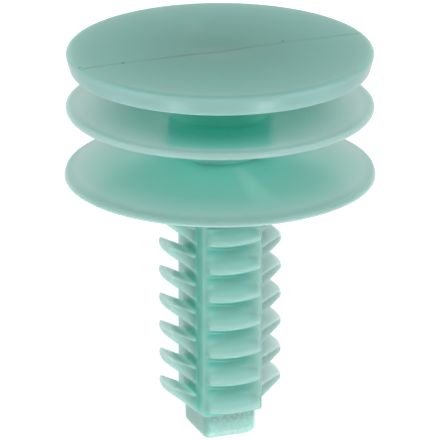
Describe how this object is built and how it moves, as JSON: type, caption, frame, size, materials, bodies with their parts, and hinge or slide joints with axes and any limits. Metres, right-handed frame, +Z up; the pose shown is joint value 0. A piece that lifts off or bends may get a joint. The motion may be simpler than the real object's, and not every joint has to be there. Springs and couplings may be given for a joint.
{
  "type": "push-in trim clip",
  "caption": "Push-in plastic clip: round head, dished collar, umbrella seal disc and a barbed square shank that grips a panel hole.",
  "frame": {"origin": "under the middle of the clip's extents, on the floor it lies on", "axes": "+Z up, the clip's own axis in the YZ plane with the head end towards +Y and raised"},
  "size_m": [0.0182, 0.026, 0.0195],
  "materials": {
    "clip_plastic": "satin moulded sea-green plastic, slightly see-through where thin"
  },
  "bodies": {
    "root": {"trim_clip": "clip_plastic"}
  },
  "joints": []
}
